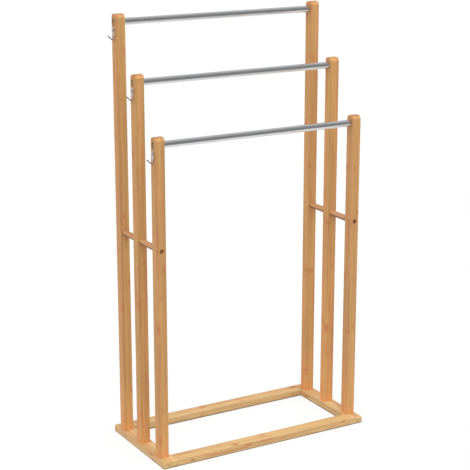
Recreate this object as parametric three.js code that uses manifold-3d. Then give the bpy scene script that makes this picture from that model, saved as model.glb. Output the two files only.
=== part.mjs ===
import * as THREE from 'three';
import { mergeVertices } from 'three/addons/utils/BufferGeometryUtils.js';
import Module from 'manifold-3d';

const wasm = await Module();
wasm.setup();

// A free-standing bamboo towel rack: three pairs of posts that rise in steps
// to the back, each pair with a steel rail between, on an open base frame.
// Millimetres, X along the rails, Y to the back, Z up, floor at Z = 0.

// Base frame
const baseLength = 550;
const baseDepth = 260;
const boardWidth = 35;
const boardThickness = 16.5;
const boardEase = 1.5;

// Posts
const postWidth = 22.5;
const postDepth = 24.5;
const postEase = 1.2;
const postHeadRadius = 9;
const postEndInset = 5;
const postHeadRise = 18.3;
const frontSetback = 27.5;
const backSetback = 23.5;
const middleRowOffset = 2.75;

// Rails and what holds them
const railDiameter = 16;
const railWall = 1;
const frontRailHeight = 748;
const railStep = 124;
const railSocketDepth = 6;
const railEndEase = 0.4;
const railInsertLength = 20;
const railInsertChamfer = 0.6;
const boltHeadDiameter = 13;
const boltHeadHeight = 2.6;
const boltHeadCrown = 0.8;
const boltShankDiameter = 6;
const boltShankLength = 28;
const boltTipChamfer = 0.8;
const boltSocketAcross = 4;
const boltSocketDepth = 1.7;
const boltRecessDiameter = 14.6;
const boltRecessDepth = 4.5;

// Struts that tie the three posts of a side
const strutDiameter = 14;
const strutHeight = 510;
const strutEndChamfer = 1;
const strutSocketDepth = 12;
const strutScrewRecessDiameter = 8.5;
const strutScrewRecessDepth = 6;
const strutScrewHeadDiameter = 7.4;
const strutScrewHeadHeight = 2.4;
const strutScrewShankDiameter = 4;
const strutScrewShankLength = 34;

// Screws that come up through the side boards into the posts
const footScrewHeadDiameter = 10;
const footScrewHeadHeight = 3;
const footScrewShankDiameter = 5;
const footScrewShankLength = 48;
const footRecessDiameter = 11.5;
const footRecessDepth = 5.5;

// Dowel pins in the corners of the base frame
const pinDiameter = 6;
const pinLength = 30;
const pinChamfer = 0.8;
const pinSpacing = 16;

// Hooks on the outer faces of the left posts, measured down from the rail
const hookPlateWidth = 12;
const hookThickness = 1.8;
const hookEase = 0.3;
const hookPlateTopDrop = 11;
const hookPlateCornerRadius = 3;
const hookTaperTopDrop = 26.5;
const hookTaperBottomDrop = 35.5;
const hookTongueWidth = 4;
const hookTongueDrop = 40.2;
const hookBendLeg = 2.2;
const hookElbowReach = 5.2;
const hookTipReach = 16.5;
const hookTipDrop = 29.4;
const hookScrewDrop = 18;
const hookScrewHeadDiameter = 6.6;
const hookScrewHeadHeight = 2;
const hookScrewShankDiameter = 3;
const hookScrewShankLength = 13;

// Shares of a screw's own sizes, for its head, point and driver recess
const screwCrownShare = 0.45;
const screwPointShare = 1.6;
const screwTipShare = 0.12;
const driverSpanShare = 0.58;
const driverSlotShare = 0.17;
const driverDepthShare = 0.6;

// Clearances
const fitGap = 0.3;
const cutOverrun = 1;

// Facets
const railSides = 24;
const boreSides = 18;
const smallSides = 10;
const hexagonSides = 6;
const smallBoreLimit = 8;
const archSteps = 3;
const easeSteps = 2;
const bendSteps = 4;

// Places worked out from the sizes above
const frontRowY = frontSetback + postDepth / 2 - baseDepth / 2;
const backRowY = baseDepth / 2 - backSetback - postDepth / 2;
const middleRowY = (frontRowY + backRowY) / 2 + middleRowOffset;
const rows = [
  { name: 'front', y: frontRowY, railHeight: frontRailHeight },
  { name: 'middle', y: middleRowY, railHeight: frontRailHeight + railStep },
  { name: 'back', y: backRowY, railHeight: frontRailHeight + 2 * railStep },
];
const sides = [
  { name: 'left', sign: -1 },
  { name: 'right', sign: 1 },
];
const postCentreX = baseLength / 2 - postEndInset - postWidth / 2;
const postInnerX = postCentreX - postWidth / 2;
const postOuterX = postCentreX + postWidth / 2;
const boltHoleDiameter = boltShankDiameter + 2 * fitGap;
const railEndX = postInnerX + railSocketDepth - fitGap;
const frontSocketFloorY = frontRowY + postDepth / 2 - strutSocketDepth;
const backSocketFloorY = backRowY - postDepth / 2 + strutSocketDepth;
// The hooks reach past the left end of the base, so the rack's middle lies
// this far left of the middle of its base.
const hookOverhang = postOuterX + hookTipReach - baseLength / 2;
const middleShift = hookOverhang / 2;

// Materials
const bamboo = new THREE.MeshStandardMaterial({ color: 0xd9a066, roughness: 0.5, metalness: 0 });
const boardBamboo = new THREE.MeshStandardMaterial({ color: 0xe2ac70, roughness: 0.5, metalness: 0 });
const dowelBamboo = new THREE.MeshStandardMaterial({ color: 0xdca06a, roughness: 0.55, metalness: 0 });
const polishedSteel = new THREE.MeshStandardMaterial({ color: 0xc4c5c6, roughness: 0.18, metalness: 1 });
const zincSteel = new THREE.MeshStandardMaterial({ color: 0x9a9b98, roughness: 0.4, metalness: 1 });
const hookSteel = new THREE.MeshStandardMaterial({ color: 0xb9bab6, roughness: 0.3, metalness: 1 });

// A closed solid that can be cut and joined, from a geometry's bare positions
function solid(geometry) {
  const bare = geometry.clone();
  bare.deleteAttribute('normal');
  bare.deleteAttribute('uv');
  const merged = mergeVertices(bare);
  return new wasm.Manifold(new wasm.Mesh({
    numProp: 3,
    vertProperties: new Float32Array(merged.attributes.position.array),
    triVerts: new Uint32Array(merged.index.array),
  }));
}

// The geometry of a finished solid
function geometryOf(body) {
  const mesh = body.getMesh();
  const geometry = new THREE.BufferGeometry();
  geometry.setAttribute('position', new THREE.BufferAttribute(mesh.vertProperties, 3));
  geometry.setIndex(new THREE.BufferAttribute(mesh.triVerts, 1));
  geometry.computeVertexNormals();
  return geometry;
}

// Turns what was made along Y so that it runs along the named axis
function turnTo(axis, geometry) {
  if (axis === 'x') geometry.rotateZ(-Math.PI / 2);
  if (axis === 'z') geometry.rotateX(Math.PI / 2);
  return geometry;
}

// Turns an outline drawn in Y and Z, and extruded, so that it runs along X
function standAcross(geometry) {
  return geometry.rotateX(Math.PI / 2).rotateZ(Math.PI / 2);
}

// A round bar along an axis, between two places on it, for a bore
function bar(axis, diameter, start, end, centre) {
  const low = Math.min(start, end);
  const high = Math.max(start, end);
  const sideCount = diameter > smallBoreLimit ? boreSides : smallSides;
  const geometry = new THREE.CylinderGeometry(diameter / 2, diameter / 2, high - low, sideCount);
  geometry.translate(0, (low + high) / 2, 0);
  turnTo(axis, geometry);
  geometry.translate(...centre);
  return solid(geometry);
}

// A bar with chamfered ends, centred on the origin, with an optional bore
function chamferedBar(axis, diameter, length, chamfer, boreDiameter, sideCount) {
  const radius = diameter / 2;
  const half = length / 2;
  const innerRadius = boreDiameter / 2;
  const profile = [
    new THREE.Vector2(innerRadius, -half),
    new THREE.Vector2(radius - chamfer, -half),
    new THREE.Vector2(radius, -half + chamfer),
    new THREE.Vector2(radius, half - chamfer),
    new THREE.Vector2(radius - chamfer, half),
    new THREE.Vector2(innerRadius, half),
  ];
  if (innerRadius > 0) profile.push(profile[0].clone());
  return turnTo(axis, new THREE.LatheGeometry(profile, sideCount));
}

// Side view of a post: straight sides, and a head rounded over front and back
function postOutline(height) {
  const half = postDepth / 2;
  const shoulder = half - postHeadRadius;
  const spring = height - postHeadRadius;
  const shape = new THREE.Shape();
  shape.moveTo(-half, 0);
  shape.lineTo(half, 0);
  shape.lineTo(half, spring);
  shape.absarc(shoulder, spring, postHeadRadius, 0, Math.PI / 2, false);
  shape.lineTo(-shoulder, height);
  shape.absarc(-shoulder, spring, postHeadRadius, Math.PI / 2, Math.PI, false);
  shape.closePath();
  return shape;
}

// The plain stick of a post, with every edge eased, standing on its foot
function postStick(height) {
  const geometry = new THREE.ExtrudeGeometry(postOutline(height), {
    depth: postWidth - 2 * postEase,
    curveSegments: archSteps,
    bevelEnabled: true,
    bevelThickness: postEase,
    bevelSize: postEase,
    bevelOffset: -postEase,
    bevelSegments: easeSteps,
  });
  geometry.translate(0, 0, postEase - postWidth / 2);
  return solid(standAcross(geometry));
}

// Rail socket in the inner face, bolt hole, and the head's recess outside
function railBores(sign, railZ) {
  const centre = [0, 0, railZ];
  const inner = -sign * postWidth / 2;
  const outer = sign * postWidth / 2;
  const socketFloor = inner + sign * railSocketDepth;
  const recessFloor = outer - sign * boltRecessDepth;
  const socket = bar('x', railDiameter + 2 * fitGap, inner - sign * cutOverrun, socketFloor, centre);
  const hole = bar('x', boltHoleDiameter, inner, outer, centre);
  const recess = bar('x', boltRecessDiameter, recessFloor, outer + sign * cutOverrun, centre);
  return socket.add(hole).add(recess);
}

// What a post's row asks of it where the strut meets it
function strutBores(rowName, strutZ) {
  const centre = [0, 0, strutZ];
  const half = postDepth / 2;
  const bore = strutDiameter + 2 * fitGap;
  if (rowName === 'middle') return bar('y', bore, -half - cutOverrun, half + cutOverrun, centre);
  const away = rowName === 'front' ? -1 : 1;
  const socketFloor = away * (strutSocketDepth - half);
  const recessFloor = away * (half - strutScrewRecessDepth);
  const socket = bar('y', bore, -away * (half + cutOverrun), socketFloor, centre);
  const hole = bar('y', strutScrewShankDiameter + 2 * fitGap, socketFloor, recessFloor, centre);
  const recess = bar('y', strutScrewRecessDiameter, recessFloor, away * (half + cutOverrun), centre);
  return socket.add(hole).add(recess);
}

// Pilot bore for the screw that comes up into the foot of a post
function footBore() {
  const depth = footScrewShankLength + footRecessDepth - boardThickness + cutOverrun;
  return bar('z', footScrewShankDiameter + 2 * fitGap, -cutOverrun, depth, [0, 0, 0]);
}

// Pilot bore for a hook's screw, in the outer face of a left post
function hookBore(sign, railZ) {
  const outer = sign * postWidth / 2;
  const floor = outer - sign * (hookScrewShankLength - hookThickness + cutOverrun);
  const centre = [0, 0, railZ - hookScrewDrop];
  return bar('x', hookScrewShankDiameter + 2 * fitGap, floor, outer + sign * cutOverrun, centre);
}

// One post, in a frame with the middle of its foot at the origin
function postGeometry(row, side) {
  const railZ = row.railHeight - boardThickness;
  let body = postStick(railZ + postHeadRise);
  body = body.subtract(railBores(side.sign, railZ));
  body = body.subtract(strutBores(row.name, strutHeight - boardThickness));
  body = body.subtract(footBore());
  if (side.name === 'left') body = body.subtract(hookBore(side.sign, railZ));
  return geometryOf(body);
}

// The glued base frame as one body, eased round its outer and inner edges
function baseFrame() {
  const halfLength = baseLength / 2;
  const halfDepth = baseDepth / 2;
  const innerX = halfLength - boardWidth;
  const innerY = halfDepth - boardWidth;
  const shape = new THREE.Shape();
  shape.moveTo(-halfLength, -halfDepth);
  shape.lineTo(halfLength, -halfDepth);
  shape.lineTo(halfLength, halfDepth);
  shape.lineTo(-halfLength, halfDepth);
  shape.closePath();
  const opening = new THREE.Path();
  opening.moveTo(-innerX, -innerY);
  opening.lineTo(-innerX, innerY);
  opening.lineTo(innerX, innerY);
  opening.lineTo(innerX, -innerY);
  opening.closePath();
  shape.holes.push(opening);
  const geometry = new THREE.ExtrudeGeometry(shape, {
    depth: boardThickness - 2 * boardEase,
    bevelEnabled: true,
    bevelThickness: boardEase,
    bevelSize: boardEase,
    bevelOffset: -boardEase,
    bevelSegments: easeSteps,
  });
  geometry.translate(0, 0, boardEase);
  return solid(geometry);
}

// A block between two corners, to part the frame into its boards
function block(low, high) {
  const geometry = new THREE.BoxGeometry(high[0] - low[0], high[1] - low[1], high[2] - low[2]);
  geometry.translate((low[0] + high[0]) / 2, (low[1] + high[1]) / 2, (low[2] + high[2]) / 2);
  return solid(geometry);
}

// The two pins of a corner lie either side of the long board's middle line
function pinPlaces() {
  const places = [];
  for (const long of [{ name: 'front', sign: -1 }, { name: 'back', sign: 1 }]) {
    for (const side of sides) {
      for (const lane of [{ name: 'outer', sign: 1 }, { name: 'inner', sign: -1 }]) {
        places.push({
          name: `base_pin_${long.name}_${side.name}_${lane.name}`,
          x: side.sign * (baseLength / 2 - boardWidth),
          y: long.sign * ((baseDepth - boardWidth) / 2 + lane.sign * pinSpacing / 2),
        });
      }
    }
  }
  return places;
}

// Bores for every pin, a little longer than the pins
function pinBores() {
  const reach = pinLength / 2 + fitGap;
  const bores = pinPlaces().map((pin) => {
    const centre = [pin.x, pin.y, boardThickness / 2];
    return bar('x', pinDiameter + 2 * fitGap, -reach, reach, centre);
  });
  return wasm.Manifold.union(bores);
}

// Clearance hole and head recess under each post of a side
function footHoles(side) {
  const holes = rows.map((row) => {
    const centre = [side.sign * postCentreX, row.y, 0];
    const hole = bar('z', footScrewShankDiameter + 2 * fitGap, 0, boardThickness + cutOverrun, centre);
    return hole.add(bar('z', footRecessDiameter, -cutOverrun, footRecessDepth, centre));
  });
  return wasm.Manifold.union(holes);
}

// A side board runs the whole depth of the base and carries three posts
function sideBoardGeometry(frame, side) {
  const innerX = side.sign * (baseLength / 2 - boardWidth);
  const outerX = side.sign * (baseLength / 2 + cutOverrun);
  const depth = baseDepth / 2 + cutOverrun;
  const low = [Math.min(innerX, outerX), -depth, -cutOverrun];
  const high = [Math.max(innerX, outerX), depth, boardThickness + cutOverrun];
  return geometryOf(frame.intersect(block(low, high)).subtract(footHoles(side)));
}

// End view of a long board, with its four long edges eased
function longBoardSection() {
  const halfWidth = boardWidth / 2;
  const halfThickness = boardThickness / 2;
  const cornerY = halfWidth - boardEase;
  const cornerZ = halfThickness - boardEase;
  const turn = Math.PI / 2;
  const shape = new THREE.Shape();
  shape.moveTo(-cornerY, -halfThickness);
  shape.absarc(cornerY, -cornerZ, boardEase, -turn, 0, false);
  shape.absarc(cornerY, cornerZ, boardEase, 0, turn, false);
  shape.absarc(-cornerY, cornerZ, boardEase, turn, 2 * turn, false);
  shape.absarc(-cornerY, -cornerZ, boardEase, 2 * turn, 3 * turn, false);
  shape.closePath();
  return shape;
}

// A long board lies between the side boards, at the front or the back
function longBoardGeometry(sign, bores) {
  const length = baseLength - 2 * boardWidth;
  const board = new THREE.ExtrudeGeometry(longBoardSection(), {
    depth: length,
    curveSegments: easeSteps,
    bevelEnabled: false,
  });
  board.translate(0, 0, -length / 2);
  standAcross(board).translate(0, sign * (baseDepth - boardWidth) / 2, boardThickness / 2);
  return geometryOf(solid(board).subtract(bores));
}

// A screw or bolt standing on its point: its head's seat is at the origin,
// the head above it and the shank below
function fastenerProfile(head, headHeight, crown, shank, shankLength, tipLength, tipRadius) {
  return [
    new THREE.Vector2(0, -shankLength),
    new THREE.Vector2(tipRadius, -shankLength),
    new THREE.Vector2(shank / 2, tipLength - shankLength),
    new THREE.Vector2(shank / 2, 0),
    new THREE.Vector2(head / 2, 0),
    new THREE.Vector2(head / 2, headHeight - crown),
    new THREE.Vector2(head / 2 - crown, headHeight),
    new THREE.Vector2(0, headHeight),
  ];
}

// The cross of a driver's recess, cut down into a head's top
function driverCross(head, headHeight) {
  const span = head * driverSpanShare;
  const slot = head * driverSlotShare;
  const depth = headHeight * driverDepthShare;
  const top = headHeight + cutOverrun;
  const along = block([-span / 2, -slot / 2, headHeight - depth], [span / 2, slot / 2, top]);
  const across = block([-slot / 2, -span / 2, headHeight - depth], [slot / 2, span / 2, top]);
  return along.add(across);
}

// A pan-headed wood screw
function screwGeometry(head, headHeight, shank, shankLength) {
  const crown = headHeight * screwCrownShare;
  const point = shank * screwPointShare;
  const tip = shank * screwTipShare;
  const profile = fastenerProfile(head, headHeight, crown, shank, shankLength, point, tip);
  const body = solid(turnTo('z', new THREE.LatheGeometry(profile, smallSides)));
  return geometryOf(body.subtract(driverCross(head, headHeight)));
}

// A joint bolt with a wide low head and a hexagon socket
function boltGeometry() {
  const profile = fastenerProfile(
    boltHeadDiameter,
    boltHeadHeight,
    boltHeadCrown,
    boltShankDiameter,
    boltShankLength,
    boltTipChamfer,
    boltShankDiameter / 2 - boltTipChamfer,
  );
  const body = solid(turnTo('z', new THREE.LatheGeometry(profile, boreSides)));
  const cornerRadius = boltSocketAcross / Math.sqrt(3);
  const depth = boltSocketDepth + cutOverrun;
  const socket = new THREE.CylinderGeometry(cornerRadius, cornerRadius, depth, hexagonSides);
  socket.translate(0, boltHeadHeight - (boltSocketDepth - cutOverrun) / 2, 0);
  return geometryOf(body.subtract(solid(turnTo('z', socket))));
}

// Front view of a hook's plate: round top corners, drawn in to its tongue
function hookPlateOutline() {
  const half = hookPlateWidth / 2;
  const tongue = hookTongueWidth / 2;
  const top = hookScrewDrop - hookPlateTopDrop;
  const cornerX = half - hookPlateCornerRadius;
  const cornerY = top - hookPlateCornerRadius;
  const taperTop = hookScrewDrop - hookTaperTopDrop;
  const taperBottom = hookScrewDrop - hookTaperBottomDrop;
  const taperMiddle = (taperTop + taperBottom) / 2;
  const shape = new THREE.Shape();
  shape.moveTo(-tongue, taperBottom);
  shape.lineTo(tongue, taperBottom);
  shape.bezierCurveTo(tongue, taperMiddle, half, taperMiddle, half, taperTop);
  shape.lineTo(half, cornerY);
  shape.absarc(cornerX, cornerY, hookPlateCornerRadius, 0, Math.PI / 2, false);
  shape.lineTo(-cornerX, top);
  shape.absarc(-cornerX, cornerY, hookPlateCornerRadius, Math.PI / 2, Math.PI, false);
  shape.lineTo(-half, taperTop);
  shape.bezierCurveTo(-half, taperMiddle, -tongue, taperMiddle, -tongue, taperBottom);
  return shape;
}

// A path through the corners, each rounded over one leg's length either side
function roundedPath(corners, leg) {
  const path = new THREE.CurvePath();
  let from = corners[0];
  for (let i = 1; i < corners.length - 1; i += 1) {
    const corner = corners[i];
    const back = corner.clone().sub(corners[i - 1]).setLength(leg);
    const ahead = corners[i + 1].clone().sub(corner).setLength(leg);
    const into = corner.clone().sub(back);
    const out = corner.clone().add(ahead);
    path.add(new THREE.LineCurve3(from, into));
    path.add(new THREE.QuadraticBezierCurve3(into, corner, out));
    from = out;
  }
  path.add(new THREE.LineCurve3(from, corners[corners.length - 1]));
  return path;
}

// The tongue's middle line: down out of the plate, then out and up to its tip
function tonguePath() {
  const inset = -fitGap - hookThickness / 2;
  const start = hookScrewDrop - (hookTaperTopDrop + hookTaperBottomDrop) / 2;
  const bottom = hookScrewDrop - hookTongueDrop + hookThickness / 2;
  const tipRadius = hookTongueWidth / 2;
  return roundedPath([
    new THREE.Vector3(inset, 0, start),
    new THREE.Vector3(inset, 0, bottom),
    new THREE.Vector3(-hookElbowReach, 0, bottom),
    new THREE.Vector3(tipRadius - hookTipReach, 0, hookScrewDrop - hookTipDrop - tipRadius),
  ], hookBendLeg);
}

// The tongue as a flat strip along its path, with a round end
function tongueBody() {
  const path = tonguePath();
  const half = hookTongueWidth / 2;
  const thick = hookThickness / 2;
  const section = new THREE.Shape();
  section.moveTo(hookEase - half, -thick);
  section.lineTo(half - hookEase, -thick);
  section.lineTo(half, hookEase - thick);
  section.lineTo(half, thick - hookEase);
  section.lineTo(half - hookEase, thick);
  section.lineTo(hookEase - half, thick);
  section.lineTo(-half, thick - hookEase);
  section.lineTo(-half, hookEase - thick);
  section.closePath();
  const strip = new THREE.ExtrudeGeometry(section, {
    steps: bendSteps * path.curves.length,
    bevelEnabled: false,
    extrudePath: path,
  });
  const end = path.getPoint(1);
  const along = path.getTangent(1);
  const disc = chamferedBar('y', hookTongueWidth, hookThickness, hookEase, 0, smallSides);
  disc.rotateY(Math.PI / 2);
  const upright = new THREE.Vector3(along.z, 0, -along.x);
  disc.applyQuaternion(new THREE.Quaternion().setFromUnitVectors(new THREE.Vector3(0, 1, 0), upright));
  disc.translate(end.x, end.y, end.z);
  return solid(strip).add(solid(disc));
}

// One hook, with its screw's axis at the origin and its back to the post
function hookGeometry() {
  const plate = new THREE.ExtrudeGeometry(hookPlateOutline(), {
    depth: hookThickness - 2 * hookEase,
    curveSegments: bendSteps,
    bevelEnabled: true,
    bevelThickness: hookEase,
    bevelSize: hookEase,
    bevelOffset: -hookEase,
    bevelSegments: 1,
  });
  standAcross(plate).translate(hookEase - hookThickness - fitGap, 0, 0);
  const hole = bar('x', hookScrewShankDiameter + 2 * fitGap,
    -hookThickness - fitGap - cutOverrun, cutOverrun, [0, 0, 0]);
  return geometryOf(solid(plate).add(tongueBody()).subtract(hole));
}

// A named piece in its place
function piece(name, geometry, material, position, rotation = [0, 0, 0]) {
  const mesh = new THREE.Mesh(geometry, material);
  mesh.name = name;
  mesh.position.set(...position);
  mesh.rotation.set(...rotation);
  return mesh;
}

// The base: side boards parted from one eased frame, long boards between them,
// and pins in the corners
function addBase(rack) {
  const bores = pinBores();
  const frame = baseFrame().subtract(bores);
  for (const side of sides) {
    rack.add(piece(`base_board_${side.name}`, sideBoardGeometry(frame, side), boardBamboo, [0, 0, 0]));
  }
  rack.add(piece('base_rail_front', longBoardGeometry(-1, bores), boardBamboo, [0, 0, 0]));
  rack.add(piece('base_rail_back', longBoardGeometry(1, bores), boardBamboo, [0, 0, 0]));
  const pin = chamferedBar('x', pinDiameter, pinLength, pinChamfer, 0, smallSides);
  for (const place of pinPlaces()) {
    rack.add(piece(place.name, pin, dowelBamboo, [place.x, place.y, boardThickness / 2]));
  }
}

// Six posts, each with the screw that holds its foot
function addPosts(rack) {
  const screw = screwGeometry(
    footScrewHeadDiameter, footScrewHeadHeight, footScrewShankDiameter, footScrewShankLength,
  );
  for (const row of rows) {
    for (const side of sides) {
      const label = `${row.name}_${side.name}`;
      const x = side.sign * postCentreX;
      rack.add(piece(`post_${label}`, postGeometry(row, side), bamboo, [x, row.y, boardThickness]));
      const seat = [x, row.y, footRecessDepth - fitGap];
      rack.add(piece(`foot_screw_${label}`, screw, zincSteel, seat, [Math.PI, 0, 0]));
    }
  }
}

// Three steel rails, with a threaded insert and a bolt at each end
function addRails(rack) {
  const bore = railDiameter - 2 * railWall;
  const rail = chamferedBar('x', railDiameter, 2 * railEndX, railEndEase, bore, railSides);
  const insert = chamferedBar('x', bore - 2 * fitGap, railInsertLength, railInsertChamfer,
    boltHoleDiameter, smallSides);
  const bolt = boltGeometry();
  const boltX = postOuterX - boltRecessDepth + fitGap;
  for (const row of rows) {
    rack.add(piece(`rail_${row.name}`, rail, polishedSteel, [0, row.y, row.railHeight]));
    for (const side of sides) {
      const label = `${row.name}_${side.name}`;
      const insertX = side.sign * (railEndX - railInsertLength / 2);
      const turn = [0, side.sign * Math.PI / 2, 0];
      rack.add(piece(`rail_insert_${label}`, insert, zincSteel, [insertX, row.y, row.railHeight]));
      const boltPlace = [side.sign * boltX, row.y, row.railHeight];
      rack.add(piece(`rail_bolt_${label}`, bolt, zincSteel, boltPlace, turn));
    }
  }
}

// A round strut through the three posts of each side, screwed at both ends
function addStruts(rack) {
  const front = frontSocketFloorY + fitGap;
  const back = backSocketFloorY - fitGap;
  const length = back - front;
  const blank = solid(chamferedBar('y', strutDiameter, length, strutEndChamfer, 0, railSides));
  const pilotDepth = strutScrewShankLength - (postDepth - strutSocketDepth - strutScrewRecessDepth);
  const pilot = strutScrewShankDiameter + 2 * fitGap;
  const half = length / 2;
  const frontPilot = bar('y', pilot, -half - cutOverrun, pilotDepth - half, [0, 0, 0]);
  const backPilot = bar('y', pilot, half - pilotDepth, half + cutOverrun, [0, 0, 0]);
  const strut = geometryOf(blank.subtract(frontPilot).subtract(backPilot));
  const screw = screwGeometry(
    strutScrewHeadDiameter, strutScrewHeadHeight, strutScrewShankDiameter, strutScrewShankLength,
  );
  const seat = postDepth / 2 - strutScrewRecessDepth + fitGap;
  for (const side of sides) {
    const x = side.sign * postCentreX;
    const centre = [x, (front + back) / 2, strutHeight];
    rack.add(piece(`strut_${side.name}`, strut, dowelBamboo, centre));
    rack.add(piece(`strut_screw_front_${side.name}`, screw, zincSteel,
      [x, frontRowY - seat, strutHeight], [Math.PI / 2, 0, 0]));
    rack.add(piece(`strut_screw_back_${side.name}`, screw, zincSteel,
      [x, backRowY + seat, strutHeight], [-Math.PI / 2, 0, 0]));
  }
}

// A hook below each rail's bolt on the left posts, held by one screw
function addHooks(rack) {
  const hook = hookGeometry();
  const screw = screwGeometry(
    hookScrewHeadDiameter, hookScrewHeadHeight, hookScrewShankDiameter, hookScrewShankLength,
  );
  for (const row of rows) {
    const z = row.railHeight - hookScrewDrop;
    rack.add(piece(`hook_${row.name}`, hook, hookSteel, [-postOuterX, row.y, z]));
    const seatX = -postOuterX - hookThickness - 2 * fitGap;
    rack.add(piece(`hook_screw_${row.name}`, screw, zincSteel,
      [seatX, row.y, z], [0, -Math.PI / 2, 0]));
  }
}

const rack = new THREE.Group();
addBase(rack);
addPosts(rack);
addRails(rack);
addStruts(rack);
addHooks(rack);
rack.position.x = middleShift;

export default rack;
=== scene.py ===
"""A free-standing bamboo towel rack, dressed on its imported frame.

Metres throughout, X along the rails, Y to the back, Z up, floor at Z = 0.
Each visible piece is a surface worked out with numpy and stands for one node
of the frame. The pins and inserts, which nothing shows, keep their own solids.
"""
import bmesh
import bpy
import numpy as np
from bpy.props import FloatProperty, FloatVectorProperty, PointerProperty
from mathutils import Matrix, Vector


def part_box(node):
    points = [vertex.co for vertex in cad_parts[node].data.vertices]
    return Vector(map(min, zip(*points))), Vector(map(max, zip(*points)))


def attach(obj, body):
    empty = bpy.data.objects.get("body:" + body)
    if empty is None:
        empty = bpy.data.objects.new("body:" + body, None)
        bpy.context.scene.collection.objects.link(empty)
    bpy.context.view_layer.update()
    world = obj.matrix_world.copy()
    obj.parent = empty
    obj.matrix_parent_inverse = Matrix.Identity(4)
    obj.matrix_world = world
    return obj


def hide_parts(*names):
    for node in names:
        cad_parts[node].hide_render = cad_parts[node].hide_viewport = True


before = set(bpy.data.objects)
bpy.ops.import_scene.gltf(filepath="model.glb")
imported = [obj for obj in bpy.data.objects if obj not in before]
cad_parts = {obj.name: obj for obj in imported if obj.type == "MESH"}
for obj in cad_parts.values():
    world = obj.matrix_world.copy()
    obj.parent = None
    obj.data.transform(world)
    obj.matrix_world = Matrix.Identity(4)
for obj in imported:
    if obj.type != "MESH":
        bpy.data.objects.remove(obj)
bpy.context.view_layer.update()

bl_info = {
    "name": "Bamboo Towel Rack",
    "version": (1, 0, 0),
    "blender": (4, 5, 0),
    "location": "3D View > Sidebar > Towel Rack",
    "description": "Builds a free-standing bamboo towel rack on its packed frame",
    "category": "Object",
}

ROWS = ("front", "middle", "back")
ENDS = ("front", "back")
SIDES = (("left", -1.0), ("right", 1.0))
AXES = {"x": (1.0, 0.0, 0.0), "y": (0.0, 1.0, 0.0), "z": (0.0, 0.0, 1.0)}
WHITE = (1.0, 1.0, 1.0, 1.0)

# sizes in metres that no user needs to change
HAIR = 0.00002  # keeps two faces, or a face and the side of a strip, apart
REACH = 0.001  # how far a cutter stands out past a face
PLAY = 0.0001  # between a rail or a strut and its bore
PIN_PLAY = 0.0003  # between a pin and its bore
FOOT_PILOT, STRUT_PILOT, HOOK_PILOT = 0.0028, 0.0023, 0.0018  # radii of screws' bores
BOARD_CORNER = 0.0016  # radius of the base's outer corners
STRUT_END, RAIL_END = 0.001, 0.0004  # radii of the ends' edges
BOLT_SOCKET, BOLT_SOCKET_DEPTH = 0.004, 0.0017  # the hexagon in a bolt's head
BOLT_BEVEL, HEAD_EDGE = 0.0008, 0.0002  # at a bolt's tip, and round any head
RECESS_BEVEL = 0.00012  # at the rim of a head's recess
HOOK_CORNER, HOOK_EDGE, HOOK_BEND = 0.003, 0.00035, 0.0026  # radii on the hooks
HOOK_ELBOW, HOOK_TIP = 0.0049, 0.0114  # elbow out from the plate's back, tip below the screw
HOOK_TAPER = (0.0090, 0.0148)  # where the plate draws in, below the screw
HOOK_HOLE = (-0.004, 0.002)  # from outside a plate to behind it

# diameter of the head, height of the head and diameter of the shank
RAIL_BOLT = (0.013, 0.0026, 0.006)
FOOT_SCREW = (0.010, 0.003, 0.005)
HOOK_SCREW = (0.0066, 0.002, 0.003)
STRUT_SCREW = (0.0074, 0.0024, 0.004)
HEAD_SIDES = 72

# a driver's cross: reach and half width over the head's width, depth over its height
CROSS = (0.29, 0.085, 0.6)

# a recess's rows: share of its outline and share of its depth
RECESS_ROWS = ((0.86, 0.75), (0.45, 1.0))

# the first number of each kind's sticks, so that no two share their strips
FIRST_STICK = {"post": 1, "side board": 11, "long board": 17, "strut": 23}

# how light and how warm each post is against the others: its own tone, and painted light that
# brightens the posts standing in other posts' shade
POST_TONES_AND_LIGHT = {
    ("front", "left"): (1.00, 1.01, 1.01),
    ("front", "right"): (1.045, 1.05, 1.10),
    ("middle", "left"): (1.02, 1.00, 0.98),
    ("middle", "right"): (1.14, 1.09, 1.10),
    ("back", "left"): (1.055, 1.055, 1.05),
    ("back", "right"): (1.11, 1.10, 1.09),
}


def shade(red, green, blue):
    """A colour given as it looks on a screen, 0 to 255, as linear light."""
    levels = np.array((red, green, blue)) / 255.0
    linear = np.where(levels <= 0.04045, levels / 12.92, ((levels + 0.055) / 1.055) ** 2.4)
    return tuple(float(level) for level in linear)


def length(name, description, default):
    """A size in metres that a user may change."""
    return FloatProperty(
        name=name, description=description, default=default, min=0.0, precision=4, unit="LENGTH"
    )


def colour(name, description, red, green, blue):
    """A colour that a user may change."""
    return FloatVectorProperty(name=name, description=description, subtype="COLOR", size=3,
                               default=shade(red, green, blue), min=0.0, max=1.0)


def strength(name, description, default):
    """How strong a light is, which a user may change."""
    return FloatProperty(name=name, description=description, default=default, min=0.0)


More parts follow.
